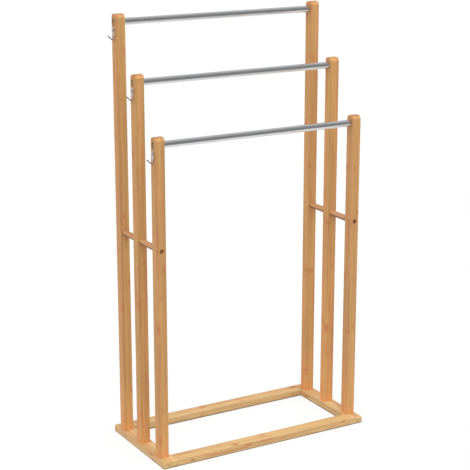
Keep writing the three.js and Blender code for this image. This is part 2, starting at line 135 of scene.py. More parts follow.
class RackSizes(bpy.types.PropertyGroup):
    """Sizes of the rack's details; its main sizes come from the frame"""

    post_edge: length("Post edge", "Radius of the eased edges of the posts", 0.0012)
    head_radius: length("Post head", "Radius of the front and back of a post's head", 0.009)
    board_edge: length("Board edge", "Radius of the eased edges of the base boards", 0.0015)
    joint_edge: length("Joint edge", "Bevel that shows as a line where boards meet", 0.00015)
    rim_edge: length("Rim edge", "Radius of the rims of holes and recesses", 0.0003)
    bolt_recess_width: length("Bolt recess width", "Diameter of the recess round a bolt", 0.0146)
    bolt_recess_depth: length("Bolt recess depth", "Depth of the recess round a bolt", 0.0045)
    bolt_hole: length("Bolt hole", "Diameter of the hole for a rail's bolt", 0.0066)
    rail_wall: length("Rail wall", "Wall thickness of the steel tube", 0.001)
    rail_socket: length("Rail socket", "How deep a rail sits in its post", 0.006)
    strut_socket: length("Strut socket", "How deep a strut sits in its post", 0.012)
    strut_recess_width: length("Strut recess width", "Diameter of a strut screw's recess", 0.0100)
    strut_recess_depth: length("Strut recess depth", "Depth of a strut screw's recess", 0.006)
    foot_recess_width: length("Foot recess width", "Diameter of a foot screw's recess", 0.0115)
    foot_recess_depth: length("Foot recess depth", "Depth of a foot screw's recess", 0.0055)
    hook_thickness: length("Hook thickness", "Thickness of the hooks' metal strip", 0.0018)
    hook_tongue: length("Hook tongue", "Width of a hook's tongue", 0.004)
    post_strip: length("Post strip", "Width of the bamboo strips across a post", 0.0056)
    post_layer: length("Post layer", "Depth of the bamboo strips in a post", 0.01225)
    strut_strip: length("Strut strip", "Width and depth of the one strip in a strut", 0.0145)
    board_strip: length("Board strip", "Width of the bamboo strips across a board", 0.0175)
    board_layer: length("Board layer", "Thickness of the bamboo layers of a board", 0.0055)
    node_spacing: length("Node spacing", "Length of cane between two of its nodes", 0.27)


class RackColours(bpy.types.PropertyGroup):
    """Colours of the rack's bamboo and metals"""

    post_pale: colour("Post, pale", "Lightest strips of the posts", 221, 171, 109)
    post_warm: colour("Post, warm", "Orange brown strips of the posts", 216, 158, 99)
    post_olive: colour("Post, olive", "Yellow strips of the posts", 213, 164, 98)
    board_pale: colour("Board, pale", "Lightest strips of the base boards", 245, 206, 146)
    board_warm: colour("Board, warm", "Orange brown strips of the base boards", 236, 191, 134)
    board_olive: colour("Board, olive", "Yellow strips of the base boards", 236, 201, 134)
    strut_pale: colour("Strut, pale", "Lightest strips of the struts", 245, 183, 131)
    strut_warm: colour("Strut, warm", "Orange brown strips of the struts", 230, 158, 107)
    strut_olive: colour("Strut, olive", "Yellow strips of the struts", 228, 168, 114)
    node: colour("Nodes", "Reddish marks of the cane's nodes", 210, 127, 80)
    steel: colour("Rail steel", "Polished steel of the rails", 226, 227, 229)
    nickel: colour("Hook metal", "Satin metal of the hooks' plates", 200, 188, 177)
    # the hooks' tongues are painted darker as shade
    tongue_shade: colour("Hook tongue", "Darker metal of the hooks' bare tongues", 88, 86, 84)
    zinc: colour("Screw metal", "Zinc plating of the feet's screws", 178, 176, 170)
    bright: colour("Hook screws", "Bright satin metal of the hooks' screws", 206, 196, 182)
    bronze: colour("Bolt metal", "Browned steel of the rails' bolts", 196, 176, 138)
    lacquer: colour("Strut screws", "Brown lacquer on the screws in the struts", 160, 124, 78)


class RackLight(bpy.types.PropertyGroup):
    """Light of the stage"""

    sky: strength("Sky", "Strength of the soft light from all round", 0.86)
    key: strength("Key", "Strength of the soft light from in front and above", 1.44)
    fill: strength("Fill", "Strength of the soft light from the left", 0.50)


# Shapes


def ring_angles(sides):
    """Angles of the points of a ring, evenly round a turn."""
    return np.arange(sides) * 2.0 * np.pi / sides


def frame_round(direction):
    """Two unit vectors at right angles to a direction and to each other."""
    axis = np.array(direction, float)
    helper = np.array((0.0, 0.0, 1.0)) if abs(axis[2]) < 0.9 else np.array((1.0, 0.0, 0.0))
    first = np.cross(helper, axis)
    first /= np.linalg.norm(first)
    return first, np.cross(axis, first)


def turned(profile, centre, direction, sides):
    """Rings of a turned shape. Row i of the profile is (radius, height): the
    ring's points are centre + height * direction + radius * (cos t * first +
    sin t * second). A radius may itself be an array over the angles t."""
    first, second = frame_round(direction)
    angles = ring_angles(sides)
    round_it = np.cos(angles)[:, None] * first + np.sin(angles)[:, None] * second
    radii = np.array([np.broadcast_to(radius, sides) for radius, _ in profile])
    heights = np.array([height for _, height in profile])
    along = heights[:, None, None] * np.array(direction, float)
    return np.array(centre, float) + along + radii[:, :, None] * round_it


def skin(rings, looped=False):
    """Quads between each ring and the next, with a flat face over each end, or
    with the last ring joined to the first. Returns points and faces."""
    rows, columns = rings.shape[:2]
    row = np.arange(rows if looped else rows - 1)[:, None]
    column = np.arange(columns)[None, :]
    ahead = (column + 1) % columns
    above = (row + 1) % rows
    corners = (row * columns + column, row * columns + ahead,
               above * columns + ahead, above * columns + column)
    faces = np.stack(corners, -1).reshape(-1, 4).tolist()
    if not looped:
        faces.append(list(range(columns - 1, -1, -1)))
        faces.append(list(range((rows - 1) * columns, rows * columns)))
    return rings.reshape(-1, 3), faces


def joined(parts):
    """Several skins as one list of points and one of faces."""
    points, faces, start = [], [], 0
    for part_points, part_faces in parts:
        points.append(part_points)
        faces.extend([[corner + start for corner in face] for face in part_faces])
        start += len(part_points)
    return np.concatenate(points), faces


def placed(name, data):
    """A new object in the scene."""
    thing = bpy.data.objects.new(name, data)
    bpy.context.scene.collection.objects.link(thing)
    return thing


def body(name, parts):
    """An object from one or more closed skins, each turned to face outwards.
    A skin's volume is the sum over its triangles of a . (b x c) / 6; where it
    comes out negative the faces are reversed."""
    outward = []
    for points, faces in parts:
        fans = [(face[0], face[k], face[k + 1]) for face in faces for k in range(1, len(face) - 1)]
        a, b, c = points[np.array(fans).T]
        if np.einsum("ij,ij->i", a, np.cross(b, c)).sum() < 0:
            faces = [face[::-1] for face in faces]
        outward.append((points, faces))
    points, faces = joined(outward)
    mesh = bpy.data.meshes.new(name)
    mesh.from_pydata(points.tolist(), [], faces)
    merged = bmesh.new()
    merged.from_mesh(mesh)
    bmesh.ops.remove_doubles(merged, verts=merged.verts, dist=1e-7)
    bmesh.ops.dissolve_degenerate(merged, edges=merged.edges, dist=1e-7)
    merged.to_mesh(mesh)
    merged.free()
    return placed(name, mesh)


def read(items, name, kind, width=1):
    """One or more numbers of every item of a mesh, as a flat array."""
    values = np.empty(len(items) * width, kind)
    items.foreach_get(name, values)
    return values


def cut(thing, parts):
    """Takes closed shapes out of an object and keeps the result as its mesh.
    A point that touches only faces left by those shapes gets 1 in the
    attribute bored, any other point 0."""
    cutter = body(thing.name + "_cutter", parts)
    for mesh, index in ((thing.data, 0), (cutter.data, 1)):
        mesh.materials.append(None)
        mesh.materials.append(None)
        mesh.polygons.foreach_set("material_index", np.full(len(mesh.polygons), index, np.int32))
    step = thing.modifiers.new("cut", "BOOLEAN")
    step.operation = "DIFFERENCE"
    step.solver = "EXACT"
    step.object = cutter
    bpy.context.view_layer.update()
    depsgraph = bpy.context.evaluated_depsgraph_get()
    result = bpy.data.meshes.new_from_object(thing.evaluated_get(depsgraph))
    thing.modifiers.clear()
    whole = thing.data
    thing.data = result
    result.name = thing.name
    bpy.data.meshes.remove(whole)
    cutter_mesh = cutter.data
    bpy.data.objects.remove(cutter)
    bpy.data.meshes.remove(cutter_mesh)
    if len(result.polygons) == 0:
        raise RuntimeError(f"cutting {thing.name} left nothing")
    from_cutter = read(result.polygons, "material_index", np.int32)
    corner_counts = read(result.polygons, "loop_total", np.int32)
    corners = read(result.loops, "vertex_index", np.int32)
    bored = np.ones(len(result.vertices), np.float32)
    bored[corners[np.repeat(from_cutter, corner_counts) == 0]] = 0.0
    result.attributes.new("bored", "FLOAT", "POINT").data.foreach_set("value", bored)
    result.polygons.foreach_set("material_index", np.zeros(len(result.polygons), np.int32))


def rod(radius, edge, half, steps=4):
    """Profile rows of a round stick with rounded ends. Towards either end they
    are (radius - edge * (1 - cos t), half - edge * (1 - sin t)), for t from 0
    to a quarter turn."""
    turns = np.linspace(0.0, np.pi / 2, steps + 1)
    end = [(radius - edge * (1 - np.cos(t)), half - edge * (1 - np.sin(t))) for t in turns]
    return [(wide, -place) for wide, place in end[::-1]] + end


def rim(radius, edge, face, inward):
    """Profile rows of a cutter that leaves a hole with a rounded rim: from
    outside the face, in along a quarter circle, to the hole's wall."""
    rows = [(radius + edge, face - inward * REACH)]
    rows += [(radius + edge * (1 - np.sin(t)), face + inward * (edge * (1 - np.cos(t)) - HAIR))
             for t in np.linspace(0.0, np.pi / 2, 4)]
    return rows


def stepped(edge, through, recess, recess_depth, hole, socket, socket_depth):
    """Profile rows of a cutter right through a post: a recess with a rounded
    rim, a narrow hole, and a socket whose rim in the far face is rounded too."""
    rows = rim(recess, edge, 0.0, 1.0)
    rows += [(recess, recess_depth), (hole, recess_depth)]
    rows += [(hole, through - socket_depth), (socket, through - socket_depth)]
    return rows + rim(socket, edge, through, -1.0)[::-1]


def drilled(radius, start, end, centre, direction, sides=24):
    """A plain round cutter that runs from one height to another."""
    return skin(turned([(radius, start), (radius, end)], centre, direction, sides))


def carried(outline, inset, axis, low, high, edge, steps=6):
    """A flat outline carried along an axis from low to high. Near either end it
    shrinks along a quarter circle: at the angle t it is inset by edge * (1 -
    cos t) and lies edge * (1 - sin t) inside the end."""
    turns = np.linspace(np.pi / 2, 0.0, steps + 1)
    depth = edge * (1 - np.sin(turns))
    shrink = edge * (1 - np.cos(turns))
    places = np.concatenate((low + depth, (high - depth)[::-1]))
    shrink = np.concatenate((shrink, shrink[::-1]))
    flat = outline[None] + shrink[:, None, None] * inset[None]
    return skin(np.insert(flat, axis, places[:, None], axis=2))


def corner_arcs(steps):
    """The four corners of a rounded rectangle, one after the other. For each
    point: which way its corner lies on either axis, and the cosine and sine
    of its angle. Returns four rows of numbers."""
    turns = np.linspace(0.0, np.pi / 2, steps + 1)
    arcs = []
    for number, (way_y, way_z) in enumerate(((1, 1), (-1, 1), (-1, -1), (1, -1))):
        angles = turns + number * np.pi / 2
        arcs.append((np.full(steps + 1, way_y), np.full(steps + 1, way_z),
                     np.cos(angles), np.sin(angles)))
    return np.concatenate(arcs, 1)


# Finishes


class Nodes:
    """Builds a node tree step by step. A step takes other steps' results or
    plain values, and gives the socket of its own result."""

    def __init__(self, tree):
        self.tree = tree

    def put(self, socket, value):
        """Feeds an input from another node's output, or sets it to a plain value."""
        if isinstance(value, bpy.types.NodeSocket):
            self.tree.links.new(value, socket)
        else:
            socket.default_value = value

    def feed(self, node, inputs):
        """Fills a node's inputs, given by name or in their own order."""
        pairs = inputs.items() if isinstance(inputs, dict) else enumerate(inputs)
        for key, value in pairs:
            self.put(node.inputs[key], value)

    def new(self, kind, inputs=(), **settings):
        """A node with its settings made and its inputs filled."""
        node = self.tree.nodes.new(f"ShaderNode{kind}")
        for name, value in settings.items():
            setattr(node, name, value)
        self.feed(node, inputs)
        return node

    def math(self, operation, *values):
        """One step of arithmetic on numbers."""
        return self.new("Math", values, operation=operation).outputs[0]

    def plus(self, first, second):
        """The sum of two numbers."""
        return self.math("ADD", first, second)

    def minus(self, first, second):
        """The first number less the second."""
        return self.math("SUBTRACT", first, second)

    def times(self, first, second):
        """The product of two numbers."""
        return self.math("MULTIPLY", first, second)

    def vector_math(self, operation, *values):
        """One step of arithmetic on vectors; a dot product gives a number."""
        node = self.new("VectorMath", values, operation=operation)
        return node.outputs[1 if operation == "DOT_PRODUCT" else 0]

    def scaled(self, first, second):
        """Two vectors or colours multiplied part by part."""
        return self.vector_math("MULTIPLY", first, second)

    def parts(self, vector):
        """The three numbers of a vector."""
        return self.new("SeparateXYZ", (vector,)).outputs

    def vector(self, first, second, third):
        """A vector from three numbers."""
        return self.new("CombineXYZ", (first, second, third)).outputs[0]

    def coordinates(self, kind):
        """A point's coordinates or its normal."""
        return self.new("TexCoord").outputs[kind]

    def blend(self, share, first, second):
        """Two colours mixed by a share."""
        return self.new("Mix", {0: share, 6: first, 7: second}, data_type="RGBA").outputs[2]

    def tinted(self, share, colour_now, tint):
        """A colour that is multiplied by a tint as far as a share goes."""
        return self.blend(share, colour_now, self.scaled(colour_now, tint))

    def ramp(self, value, low, high, at_low, at_high):
        """A number carried smoothly from one range to another."""
        values = (value, low, high, at_low, at_high)
        return self.new("MapRange", values, interpolation_type="SMOOTHSTEP").outputs[0]

    def lit(self, colour_now, pattern, darkest, lightest):
        """A colour multiplied by a light that follows a noise."""
        light = self.ramp(pattern, 0.3, 0.7, darkest, lightest)
        return self.scaled(colour_now, self.vector(light, light, light))

    def noise(self, vector, stretch, detail=2.0, rough=0.5):
        """Soft noise over a place, with its own scale in each direction."""
        return self.new("TexNoise", {"Vector": self.scaled(vector, stretch), "Scale": 1.0,
                                     "Detail": detail, "Roughness": rough}).outputs[0]

    def chance(self, vector):
        """Three numbers by chance, the same all over one whole place."""
        node = self.new("TexWhiteNoise", {"Vector": vector}, noise_dimensions="3D")
        return self.parts(node.outputs["Color"])


def group_with(name, kinds):
    """An empty node group with inputs of the named kinds, which gives a colour,
    a roughness and a height."""
    group = bpy.data.node_groups.new(name, "ShaderNodeTree")
    for label, kind in kinds.items():
        group.interface.new_socket(name=label, in_out="INPUT", socket_type=f"NodeSocket{kind}")
    for label, kind in (("Colour", "Color"), ("Roughness", "Float"), ("Height", "Float")):
        group.interface.new_socket(name=label, in_out="OUTPUT", socket_type=f"NodeSocket{kind}")
    entry = group.nodes.new("NodeGroupInput")
    leave = group.nodes.new("NodeGroupOutput")
    return Nodes(group), entry.outputs, leave


# noises of the bamboo: how often they change in a metre across, through and along
WANDER = (70.0, 70.0, 5.0)
BLUSH = (40.0, 40.0, 9.0)
WOBBLE = (260.0, 260.0, 24.0)
BAND = (260.0, 260.0, 4.0)
STREAK = (620.0, 620.0, 7.0)
FIBRE = (2100.0, 2100.0, 16.0)
FLECK = (1500.0, 1500.0, 45.0)
PORES = (1500.0, 1500.0, 0.0)

# in metres: where a glue line fades, how far a node's mark reaches from it at
# least and at most, where the thin line in it fades, and how much it wavers
GLUE_LINE = (0.00003, 0.00022)
NODE_REACH = (0.010, 0.019)
NODE_LINE = (0.0002, 0.0011)
NODE_WAVER = 0.012

# colours that thin dark marks are mixed with
NODE_BROWN = (0.22, 0.10, 0.045, 1.0)
FLECK_BROWN = (0.30, 0.15, 0.06, 1.0)
GLUE_BROWN = (0.30, 0.16, 0.07, 1.0)
PORE_BROWN = (0.33, 0.17, 0.07, 1.0)

# what colours are multiplied by as painted shade on the eased edges, next to the floor and in
# bores; as painted warm light between two heights over the floor; and as painted shade between two
# tilts of a round stick
EDGE_SHADE = (0.73, 0.78, 0.80)
FOOT_SHADE = (0.40, 0.46, 0.56)
BORE_SHADE = (0.70, 0.66, 0.60)
GLOWS = ((0.030, 0.17, (1.17, 1.11, 1.07)), (0.020, 0.044, (1.10, 1.04, 1.00)))
ROUND_SHADES = ((0.62, -0.50, (0.50, 0.52, 0.54)), (0.82, 0.99, (0.74, 0.74, 0.76)))

# what cut ends' colours are multiplied by, darker end grain that on the posts' lit head tops is
# also painted shade, and how high the painted shade next to the floor reaches up a foot
CUT_END_GRAIN_AND_SHADE = {
    "post": (0.74, 0.72, 0.80, 1.0),
    "strut": (0.74, 0.72, 0.80, 1.0),
    "board": (0.84, 0.85, 0.83, 1.0),
}
FOOT_HEIGHT = 0.0042


def bamboo_group():
    """Laminated bamboo, from a point's place in its stick: across the strips,
    through the layers and along the grain. Each strip has a tone by chance,
    nodes at even steps that start by chance, fine fibres and faint glue lines.
    Faces that look along the grain show the fibres' cut ends."""
    name = "Laminated bamboo"
    if name in bpy.data.node_groups:
        return bpy.data.node_groups[name]
    nodes, given, result = group_with(name, {
        "Place": "Vector", "Strip": "Float", "Layer": "Float", "Spacing": "Float",
        "Grain axis": "Vector", "Pale": "Color", "Warm": "Color", "Olive": "Color",
        "Node": "Color", "Tone": "Color", "Cut ends": "Color", "Bored": "Float",
        "Glow": "Float", "Foot height": "Float", "Round": "Float"})
    place = given["Place"]
    across, through, along = nodes.parts(place)

    # which strip a point is in, and how near its glue lines
    cell, depths = [], []
    for value, size in ((across, given["Strip"]), (through, given["Layer"])):
        step = nodes.math("DIVIDE", value, size)
        cell.append(nodes.math("FLOOR", step))
        from_middle = nodes.math("ABSOLUTE", nodes.minus(nodes.math("FRACT", step), 0.5))
        depths.append(nodes.times(nodes.minus(0.5, from_middle), size))
    tone, drift, start = nodes.chance(nodes.vector(*cell, 0.5))
    glue = nodes.ramp(nodes.math("MINIMUM", *depths), *GLUE_LINE, 1.0, 0.0)

    # tones of the strips, drifting a little along each
    colour_now = nodes.blend(nodes.ramp(tone, 0.15, 0.85, 0.0, 1.0), given["Pale"], given["Warm"])
    colour_now = nodes.blend(nodes.ramp(drift, 0.45, 0.95, 0.0, 0.6), colour_now, given["Olive"])
    shifted = nodes.vector_math("ADD", place, nodes.vector(0.0, 0.0, start))
    colour_now = nodes.lit(colour_now, nodes.noise(shifted, WANDER), 0.90, 1.05)
    blush = nodes.ramp(nodes.noise(shifted, BLUSH, 1.0), 0.54, 0.74, 0.0, 0.50)
    colour_now = nodes.blend(blush, colour_now, given["Node"])

    # nodes of the cane, each strong or faint by chance
    step = nodes.plus(nodes.math("DIVIDE", along, given["Spacing"]), nodes.times(start, 7.0))
    strength, shape, _ = nodes.chance(nodes.vector(*cell, nodes.math("FLOOR", step)))
    offset = nodes.times(nodes.minus(nodes.math("FRACT", step), 0.5), given["Spacing"])
    waver = nodes.times(nodes.minus(nodes.noise(place, WOBBLE), 0.5), NODE_WAVER)
    away = nodes.math("ABSOLUTE", nodes.plus(offset, waver))
    reach = nodes.ramp(shape, 0.0, 1.0, *NODE_REACH)
    mark = nodes.ramp(nodes.minus(1.0, nodes.math("DIVIDE", away, reach)), 0.0, 0.8, 0.0, 1.0)
    mark = nodes.times(mark, nodes.ramp(strength, 0.25, 1.0, 0.06, 0.75))
    colour_now = nodes.blend(mark, colour_now, given["Node"])
    colour_now = nodes.blend(nodes.ramp(away, *NODE_LINE, 0.25, 0.0), colour_now, NODE_BROWN)

    # fibres
    colour_now = nodes.lit(colour_now, nodes.noise(place, BAND, 1.0), 0.93, 1.05)
    colour_now = nodes.lit(colour_now, nodes.noise(place, STREAK, 2.0, 0.6), 0.90, 1.06)
    fibre = nodes.noise(place, FIBRE, 3.0, 0.6)
    colour_now = nodes.lit(colour_now, fibre, 0.90, 1.06)
    fleck = nodes.ramp(nodes.noise(place, FLECK), 0.58, 0.70, 0.0, 0.30)
    colour_now = nodes.blend(fleck, colour_now, FLECK_BROWN)
    colour_now = nodes.blend(nodes.times(glue, 0.28), colour_now, GLUE_BROWN)

    # long edges, a little darker as painted shade, where the normal lies between two faces
    facing = nodes.coordinates("Normal")
    along_normal = nodes.vector_math("DOT_PRODUCT", facing, given["Grain axis"])
    crosswise = nodes.vector_math("SUBTRACT", (1.0, 1.0, 1.0), given["Grain axis"])
    flat = nodes.vector_math("ABSOLUTE", nodes.scaled(facing, crosswise))
    flat_x, flat_y, flat_z = nodes.parts(flat)
    between = nodes.times(nodes.plus(flat_x, flat_y), flat_z)
    between = nodes.plus(between, nodes.times(flat_x, flat_y))
    colour_now = nodes.tinted(nodes.ramp(between, 0.08, 0.40, 0.0, 1.0), colour_now, EDGE_SHADE)

    # the warm light that the boards throw back on what stands on them
    above = nodes.parts(nodes.coordinates("Object"))[2]
    for low, high, tint in GLOWS:
        near = nodes.times(nodes.ramp(above, low, high, 1.0, 0.0), given["Glow"])
        colour_now = nodes.tinted(near, colour_now, tint)

    # round sticks, darker below and a little at the very top
    upward = nodes.parts(facing)[2]
    for low, high, tint in ROUND_SHADES:
        turned_away = nodes.times(nodes.ramp(upward, low, high, 0.0, 1.0), given["Round"])
        colour_now = nodes.tinted(turned_away, colour_now, tint)

    # painted shade: the foot, darker and greyer next to the floor, and the walls of bores
    foot = given["Foot height"]
    low_down = nodes.ramp(above, nodes.times(foot, 0.4), foot, 1.0, 0.0)
    colour_now = nodes.tinted(low_down, colour_now, FOOT_SHADE)
    colour_now = nodes.tinted(given["Bored"], colour_now, BORE_SHADE)
    # the stick's own tone, with painted light on the posts that stand in shade
    colour_now = nodes.scaled(colour_now, given["Tone"])

    # cut ends: darker end grain, and painted shade on the posts' head tops
    end = nodes.ramp(nodes.math("ABSOLUTE", along_normal), 0.42, 0.97, 0.0, 1.0)
    pores = nodes.new("TexVoronoi", {"Vector": nodes.scaled(place, PORES), "Scale": 1.0})
    pore = nodes.ramp(pores.outputs["Distance"], 0.12, 0.38, 0.45, 0.0)
    cut_colour = nodes.blend(pore, nodes.scaled(colour_now, given["Cut ends"]), PORE_BROWN)
    colour_now = nodes.blend(end, colour_now, cut_colour)

    rough = nodes.plus(nodes.ramp(fibre, 0.2, 0.8, 0.44, 0.54), nodes.times(end, 0.12))
    rough = nodes.plus(rough, nodes.times(given["Bored"], 0.25))
    height = nodes.minus(nodes.times(fibre, 0.35), nodes.times(glue, 0.5))
    height = nodes.plus(height, nodes.times(mark, 0.3))
    nodes.feed(result, (colour_now, rough, height))
    return nodes.tree


def metal_group():
    """Worked metal: its tint broken by soft cloudiness and by fine lines that
    are long in one direction, and a polish that varies with both."""
    name = "Worked metal"
    if name in bpy.data.node_groups:
        return bpy.data.node_groups[name]
    nodes, given, result = group_with(name, {
        "Place": "Vector", "Lines": "Vector", "Tint": "Color", "Polish": "Float",
        "Spread": "Float"})
    lines = nodes.noise(given["Place"], given["Lines"], 3.0, 0.6)
    cloud = nodes.noise(given["Place"], (45.0, 45.0, 45.0), 3.0, 0.55)
    colour_now = nodes.lit(nodes.lit(given["Tint"], cloud, 0.95, 1.0), lines, 0.96, 1.0)
    uneven = nodes.plus(nodes.times(lines, 0.6), nodes.times(cloud, 0.4))
    uneven = nodes.times(nodes.minus(uneven, 0.5), given["Spread"])
    rough = nodes.plus(given["Polish"], uneven)
    nodes.feed(result, (colour_now, rough, lines))
    return nodes.tree


def material_from(name, group, values, metallic, bump, bump_depth, gloss):
    """A material whose colour, roughness and relief come from a node group.
    Returns it with its nodes and with the group's node."""
    material = bpy.data.materials.new(name)
    material.use_nodes = True
    nodes = Nodes(material.node_tree)
    pattern = nodes.new("Group", values, node_tree=group, name="Pattern")
    relief = nodes.new("Bump", {"Strength": bump, "Distance": bump_depth,
                                "Height": pattern.outputs["Height"]})
    nodes.feed(nodes.tree.nodes["Principled BSDF"], {
        "Base Color": pattern.outputs["Colour"],
        "Roughness": pattern.outputs["Roughness"],
        "Normal": relief.outputs["Normal"],
        "Metallic": metallic,
        "Specular IOR Level": gloss,
    })
    return material, nodes, pattern


def opaque(colour_value):
    """A user's colour as a node colour."""
    return (*colour_value, 1.0)


def bamboo(name, kind, grain_axis, strip, layer, from_mesh=True):
    """Lacquered bamboo for sticks whose grain runs along one axis. Pieces made here carry their
    place in the stick, the stick's tone with its painted light and the walls of its bores as the
    attributes grain, tone and bored; a solid of the frame uses its own coordinates instead."""
    colours = bpy.context.scene.rack_colours
    values = {
        "Strip": strip,
        "Layer": layer,
        "Spacing": bpy.context.scene.rack_sizes.node_spacing,
        "Grain axis": grain_axis,
        "Pale": opaque(getattr(colours, f"{kind}_pale")),
        "Warm": opaque(getattr(colours, f"{kind}_warm")),
        "Olive": opaque(getattr(colours, f"{kind}_olive")),
        "Node": opaque(colours.node),
        "Tone": WHITE,
        "Cut ends": CUT_END_GRAIN_AND_SHADE[kind],
        "Bored": 0.0,
        "Glow": 1.0 if kind == "post" else 0.0,
        "Foot height": FOOT_HEIGHT,
        "Round": 1.0 if kind == "strut" else 0.0,
    }
    material, nodes, pattern = material_from(name, bamboo_group(), values, metallic=0.0,
                                             bump=0.30, bump_depth=0.0003, gloss=0.22)
    if from_mesh:
        for label, attribute, output in (("Place", "grain", "Vector"), ("Tone", "tone", "Vector"),
                                         ("Bored", "bored", "Fac")):
            reader = nodes.new("Attribute", attribute_name=attribute)
            nodes.put(pattern.inputs[label], reader.outputs[output])
    else:
        x, y, z = nodes.parts(nodes.coordinates("Object"))
        nodes.put(pattern.inputs["Place"], nodes.vector(y, z, x))
    return material


def metal(name, tint, polish, spread, lines, metallic=1.0):
    """Metal with a polish that is uneven along its working lines. Lacquer over
    it makes it less metallic."""
    if name in bpy.data.materials:
        return bpy.data.materials[name]
    values = {"Tint": opaque(tint), "Polish": polish, "Spread": spread, "Lines": lines}
    material, nodes, pattern = material_from(name, metal_group(), values, metallic,
                                             bump=0.05, bump_depth=0.0001, gloss=0.5)
    nodes.put(pattern.inputs["Place"], nodes.coordinates("Object"))
    return material


# for each colour of a screw, bolt or insert: material, roughness, how metallic
SMALL_METALS = {
    "zinc": ("plated_screws", 0.34, 1.0),
    "bright": ("bright_screws", 0.50, 0.6),
    "bronze": ("browned_bolts", 0.40, 1.0),
    "lacquer": ("lacquered_screws", 0.45, 0.0),
}


def small_metal(kind):
    """The finish of screws, bolts and inserts, fine grained all over."""
    name, rough, metallic = SMALL_METALS[kind]
    tint = getattr(bpy.context.scene.rack_colours, kind)
    return metal(name, tint, rough, 0.16, (900.0, 900.0, 900.0), metallic)


def nickel(plate_x, fade=0.005):
    """Satin nickel, for the hooks. Their plates' outer faces lie at plate_x; the tongues, which
    reach further out, are darker, a painted shade."""
    colours = bpy.context.scene.rack_colours
    finish = metal("satin_hooks", colours.nickel, 0.32, 0.14, (700.0, 700.0, 60.0), 0.6)
    nodes = Nodes(finish.node_tree)
    out = nodes.parts(nodes.coordinates("Object"))[0]
    share = nodes.ramp(out, plate_x - fade, plate_x, 1.0, 0.0)
    tint = nodes.blend(share, opaque(colours.nickel), opaque(colours.tongue_shade))
    nodes.put(nodes.tree.nodes["Pattern"].inputs["Tint"], tint)
    return finish


# Fitting a piece to the frame


def lay_grain(thing, start, order, number, strip, layer, tone):
    """Stores each point's place in its stick: the coordinates from the stick's
    start in the order across, through, along, moved by whole strips so that no
    two sticks share their tones, and by a hair so that no face lies between
    two strips. Also stores what the whole stick's colour is multiplied by."""
    mesh = thing.data
    points = read(mesh.vertices, "co", float, 3).reshape(-1, 3)
    places = (points - np.array(start))[:, list(order)]
    places += np.array((11 * number * strip + HAIR, 3 * number * layer + HAIR, 0.37 * number))
    tones = np.tile(np.float32(tone), len(mesh.vertices))
    for name, values in (("grain", places.astype(np.float32).ravel()), ("tone", tones)):
        mesh.attributes.new(name, "FLOAT_VECTOR", "POINT").data.foreach_set("vector", values)


def dress(thing, node, material, sharp=35.0):
    """Shades a finished piece, gives it its finish and puts it in its node's
    place on the frame."""
    mesh = thing.data
    mesh.shade_smooth()
    mesh.set_sharp_from_angle(angle=np.radians(sharp))
    mesh.materials.clear()
    mesh.materials.append(material)
    even = thing.modifiers.new("even shading", "WEIGHTED_NORMAL")
    even.keep_sharp = True
    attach(thing, "root")
    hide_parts(node)


def wooden(node, shape, cuts, material, grain, tone=(1.0, 1.0, 1.0)):
    """A wooden piece in its node's place: a shape with its bores taken out and
    its grain laid, given as the stick's start, order, number, strip and layer."""
    piece = body(f"bamboo_{node}", [shape])
    cut(piece, cuts)
    lay_grain(piece, *grain, tone)
    dress(piece, node, material)


def box_of(node):
    """Lowest corner, highest corner and middle of a node, as arrays."""
    low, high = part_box(node)
    low, high = np.array(low), np.array(high)
    return low, high, (low + high) / 2


def radius_of(node):
    """Half the height of a node that lies level."""
    low, high, _ = box_of(node)
    return (high[2] - low[2]) / 2


# Posts


def post_outline(low, high, radius, steps=14):
    """Side view of a post as a ring of (y, z) and the way each point moves when
    the ring shrinks. The head is two arcs: middle of arc + radius * (cos t,
    sin t); a point there moves straight towards its arc's middle."""
    turns = np.linspace(0.0, np.pi / 2, steps + 1)
    cos, sin = np.cos(turns), np.sin(turns)
    spring = high[2] - radius
    back = np.stack((high[1] - radius + radius * cos, spring + radius * sin), 1)
    front = np.stack((low[1] + radius - radius * sin, spring + radius * cos), 1)
    foot = np.array(((low[1], low[2]), (high[1], low[2])))
    foot_in = np.array(((1.0, 0.0), (-1.0, 0.0)))
    inset = np.concatenate((foot_in, -np.stack((cos, sin), 1), np.stack((sin, -cos), 1)))
    return np.concatenate((foot, back, front)), inset


def post_cuts(row, side, sign, low, high, sizes):
    """Everything bored into one post, as closed turned shapes."""
    edge = sizes.rim_edge
    width, depth, _ = high - low
    middle = (low + high) / 2
    _, _, rail = box_of(f"rail_{row}")
    _, _, strut = box_of(f"strut_{side}")
    strut_bore = radius_of(f"strut_{side}") + PLAY

    # along X, from the outer face inwards
    face = (high[0] if sign > 0 else low[0], rail[1], rail[2])
    rows = stepped(edge, width, sizes.bolt_recess_width / 2, sizes.bolt_recess_depth,
                   sizes.bolt_hole / 2, radius_of(f"rail_{row}") + PLAY, sizes.rail_socket)
    cuts = [skin(turned(rows, face, (-sign, 0.0, 0.0), 64))]

    # along Y at the strut, from the post's outer face, or right through
    start = (middle[0], high[1] if row == "back" else low[1], strut[2])
    if row == "middle":
        rows = rim(strut_bore, edge, 0.0, 1.0) + rim(strut_bore, edge, depth, -1.0)[::-1]
    else:
        rows = stepped(edge, depth, sizes.strut_recess_width / 2, sizes.strut_recess_depth,
                       STRUT_PILOT, strut_bore, sizes.strut_socket)
    way = (0.0, -1.0 if row == "back" else 1.0, 0.0)
    cuts.append(skin(turned(rows, start, way, 64)))

    # up the foot, and in from the side for a hook's screw
    _, tip, _ = box_of(f"foot_screw_{row}_{side}")
    cuts.append(drilled(FOOT_PILOT, -REACH, tip[2] + REACH - low[2],
                        (middle[0], middle[1], low[2]), AXES["z"]))
    if side == "left":
        _, tip, screw = box_of(f"hook_screw_{row}")
        cuts.append(drilled(HOOK_PILOT, -REACH, tip[0] + REACH - low[0],
                            (low[0], screw[1], screw[2]), AXES["x"]))
    return cuts


